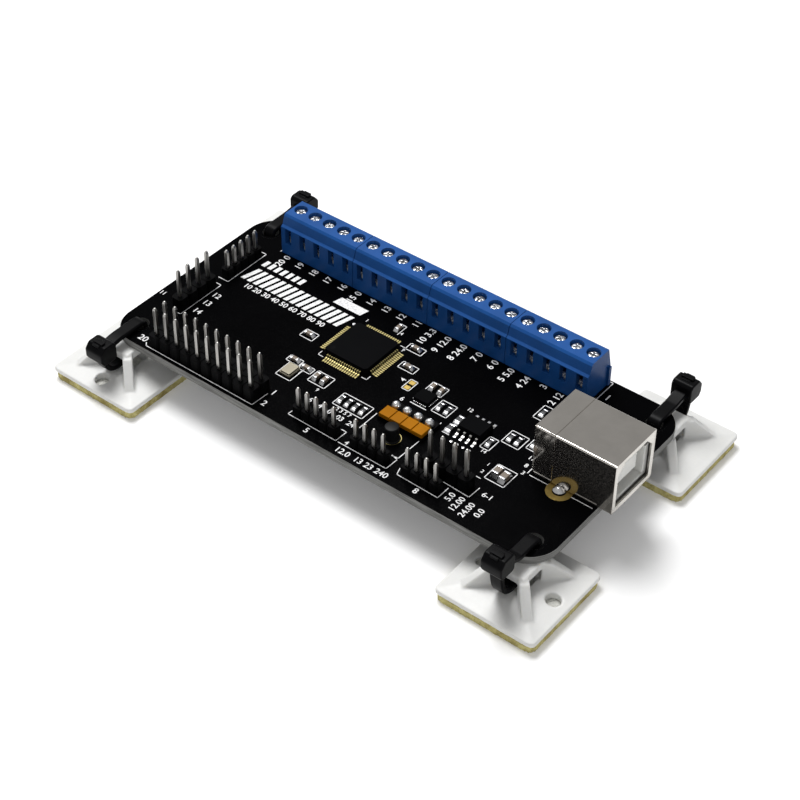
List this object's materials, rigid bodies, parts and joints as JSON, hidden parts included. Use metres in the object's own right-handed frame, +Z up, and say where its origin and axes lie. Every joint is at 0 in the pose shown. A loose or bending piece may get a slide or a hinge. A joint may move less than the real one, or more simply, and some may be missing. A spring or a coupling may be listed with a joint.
{
  "type": "microcontroller dev board",
  "caption": "Black microcontroller board with screw terminals, pin headers and a type-B USB receptacle, tied to adhesive cable-tie mounts.",
  "frame": {"origin": "middle of the board's plan, on the surface that the foam pads stick to", "axes": "+X along the board to the USB receptacle, +Y to the screw terminals, +Z up"},
  "size_m": [0.109, 0.064, 0.02],
  "materials": {
    "solder_mask": "semi-gloss",
    "header_plastic": "satin",
    "blue_plastic": "satin",
    "zinc_steel": "bright zinc",
    "tin_plate": "bright tin",
    "contact_metal": "gold flash",
    "white_plastic": "satin",
    "chip_resin": "matt",
    "amber_plastic": "gloss",
    "white_nylon": "satin",
    "foam_tape": "open-cell foam",
    "black_nylon": "satin"
  },
  "bodies": {
    "board": {"pcb": "solder_mask", "header_2x10": "header_plastic", "header_left_1x4": "header_plastic", "header_left_1x5": "header_plastic", "header_front_1x5": "header_plastic", "header_front_1x4_a": "header_plastic", "header_front_1x4_b": "header_plastic", "header_inner_1x4": "header_plastic", "terminal_housing_1": "blue_plastic", "terminal_housing_2": "blue_plastic", "terminal_housing_3": "blue_plastic", "terminal_housing_4": "blue_plastic", "usb_shell": "tin_plate", "usb_insulator": "white_plastic", "usb_contact_1": "contact_metal", "usb_contact_2": "contact_metal", "usb_contact_3": "contact_metal", "usb_contact_4": "contact_metal", "microcontroller": "chip_resin", "driver_chip": "chip_resin", "small_chip": "chip_resin", "crystal": "tin_plate", "dip_switch_body": "header_plastic", "dip_switch_cover": "amber_plastic", "tie_mount_front_left": "white_nylon", "foam_pad_front_left": "foam_tape", "cable_tie_front_left": "black_nylon", "tie_mount_front_right": "white_nylon", "foam_pad_front_right": "foam_tape", "cable_tie_front_right": "black_nylon", "tie_mount_back_left": "white_nylon", "foam_pad_back_left": "foam_tape", "cable_tie_back_left": "black_nylon", "tie_mount_back_right": "white_nylon", "foam_pad_back_right": "foam_tape", "cable_tie_back_right": "black_nylon"},
    "screw_01": {"terminal_screw_01": "zinc_steel"},
    "screw_02": {"terminal_screw_02": "zinc_steel"},
    "screw_03": {"terminal_screw_03": "zinc_steel"},
    "screw_04": {"terminal_screw_04": "zinc_steel"},
    "screw_05": {"terminal_screw_05": "zinc_steel"},
    "screw_06": {"terminal_screw_06": "zinc_steel"},
    "screw_07": {"terminal_screw_07": "zinc_steel"},
    "screw_08": {"terminal_screw_08": "zinc_steel"},
    "screw_09": {"terminal_screw_09": "zinc_steel"},
    "screw_10": {"terminal_screw_10": "zinc_steel"},
    "screw_11": {"terminal_screw_11": "zinc_steel"},
    "screw_12": {"terminal_screw_12": "zinc_steel"},
    "screw_13": {"terminal_screw_13": "zinc_steel"},
    "screw_14": {"terminal_screw_14": "zinc_steel"},
    "screw_15": {"terminal_screw_15": "zinc_steel"},
    "screw_16": {"terminal_screw_16": "zinc_steel"},
    "screw_17": {"terminal_screw_17": "zinc_steel"},
    "screw_18": {"terminal_screw_18": "zinc_steel"},
    "screw_19": {"terminal_screw_19": "zinc_steel"},
    "screw_20": {"terminal_screw_20": "zinc_steel"},
    "lever_1": {"dip_lever_1": "white_plastic"},
    "lever_2": {"dip_lever_2": "white_plastic"},
    "lever_3": {"dip_lever_3": "white_plastic"},
    "lever_4": {"dip_lever_4": "white_plastic"}
  },
  "joints": [
    {"name": "screw_01_turn", "type": "hinge", "parent": "board", "child": "screw_01", "pos_m": [-0.03682, 0.0188, 0.0165], "axis": [0, 0, 1], "range_deg": [0, 1440]},
    {"name": "screw_02_turn", "type": "hinge", "parent": "board", "child": "screw_02", "pos_m": [-0.03327, 0.0188, 0.0165], "axis": [0, 0, 1], "range_deg": [0, 1440]},
    {"name": "screw_03_turn", "type": "hinge", "parent": "board", "child": "screw_03", "pos_m": [-0.02973, 0.0188, 0.0165], "axis": [0, 0, 1], "range_deg": [0, 1440]},
    {"name": "screw_04_turn", "type": "hinge", "parent": "board", "child": "screw_04", "pos_m": [-0.02618, 0.0188, 0.0165], "axis": [0, 0, 1], "range_deg": [0, 1440]},
    {"name": "screw_05_turn", "type": "hinge", "parent": "board", "child": "screw_05", "pos_m": [-0.02262, 0.0188, 0.0165], "axis": [0, 0, 1], "range_deg": [0, 1440]},
    {"name": "screw_06_turn", "type": "hinge", "parent": "board", "child": "screw_06", "pos_m": [-0.01908, 0.0188, 0.0165], "axis": [0, 0, 1], "range_deg": [0, 1440]},
    {"name": "screw_07_turn", "type": "hinge", "parent": "board", "child": "screw_07", "pos_m": [-0.01553, 0.0188, 0.0165], "axis": [0, 0, 1], "range_deg": [0, 1440]},
    {"name": "screw_08_turn", "type": "hinge", "parent": "board", "child": "screw_08", "pos_m": [-0.01197, 0.0188, 0.0165], "axis": [0, 0, 1], "range_deg": [0, 1440]},
    {"name": "screw_09_turn", "type": "hinge", "parent": "board", "child": "screw_09", "pos_m": [-0.00843, 0.0188, 0.0165], "axis": [0, 0, 1], "range_deg": [0, 1440]},
    {"name": "screw_10_turn", "type": "hinge", "parent": "board", "child": "screw_10", "pos_m": [-0.00487, 0.0188, 0.0165], "axis": [0, 0, 1], "range_deg": [0, 1440]},
    {"name": "screw_11_turn", "type": "hinge", "parent": "board", "child": "screw_11", "pos_m": [-0.00133, 0.0188, 0.0165], "axis": [0, 0, 1], "range_deg": [0, 1440]},
    {"name": "screw_12_turn", "type": "hinge", "parent": "board", "child": "screw_12", "pos_m": [0.00222, 0.0188, 0.0165], "axis": [0, 0, 1], "range_deg": [0, 1440]},
    {"name": "screw_13_turn", "type": "hinge", "parent": "board", "child": "screw_13", "pos_m": [0.00577, 0.0188, 0.0165], "axis": [0, 0, 1], "range_deg": [0, 1440]},
    {"name": "screw_14_turn", "type": "hinge", "parent": "board", "child": "screw_14", "pos_m": [0.00932, 0.0188, 0.0165], "axis": [0, 0, 1], "range_deg": [0, 1440]},
    {"name": "screw_15_turn", "type": "hinge", "parent": "board", "child": "screw_15", "pos_m": [0.01287, 0.0188, 0.0165], "axis": [0, 0, 1], "range_deg": [0, 1440]},
    {"name": "screw_16_turn", "type": "hinge", "parent": "board", "child": "screw_16", "pos_m": [0.01642, 0.0188, 0.0165], "axis": [0, 0, 1], "range_deg": [0, 1440]},
    {"name": "screw_17_turn", "type": "hinge", "parent": "board", "child": "screw_17", "pos_m": [0.01997, 0.0188, 0.0165], "axis": [0, 0, 1], "range_deg": [0, 1440]},
    {"name": "screw_18_turn", "type": "hinge", "parent": "board", "child": "screw_18", "pos_m": [0.02353, 0.0188, 0.0165], "axis": [0, 0, 1], "range_deg": [0, 1440]},
    {"name": "screw_19_turn", "type": "hinge", "parent": "board", "child": "screw_19", "pos_m": [0.02707, 0.0188, 0.0165], "axis": [0, 0, 1], "range_deg": [0, 1440]},
    {"name": "screw_20_turn", "type": "hinge", "parent": "board", "child": "screw_20", "pos_m": [0.03062, 0.0188, 0.0165], "axis": [0, 0, 1], "range_deg": [0, 1440]},
    {"name": "lever_1_slide", "type": "slide", "parent": "board", "child": "lever_1", "axis": [0, 1, 0], "range_m": [0, 0.0007]},
    {"name": "lever_2_slide", "type": "slide", "parent": "board", "child": "lever_2", "axis": [0, 1, 0], "range_m": [0, 0.0007]},
    {"name": "lever_3_slide", "type": "slide", "parent": "board", "child": "lever_3", "axis": [0, 1, 0], "range_m": [0, 0.0007]},
    {"name": "lever_4_slide", "type": "slide", "parent": "board", "child": "lever_4", "axis": [0, 1, 0], "range_m": [0, 0.0007]}
  ]
}
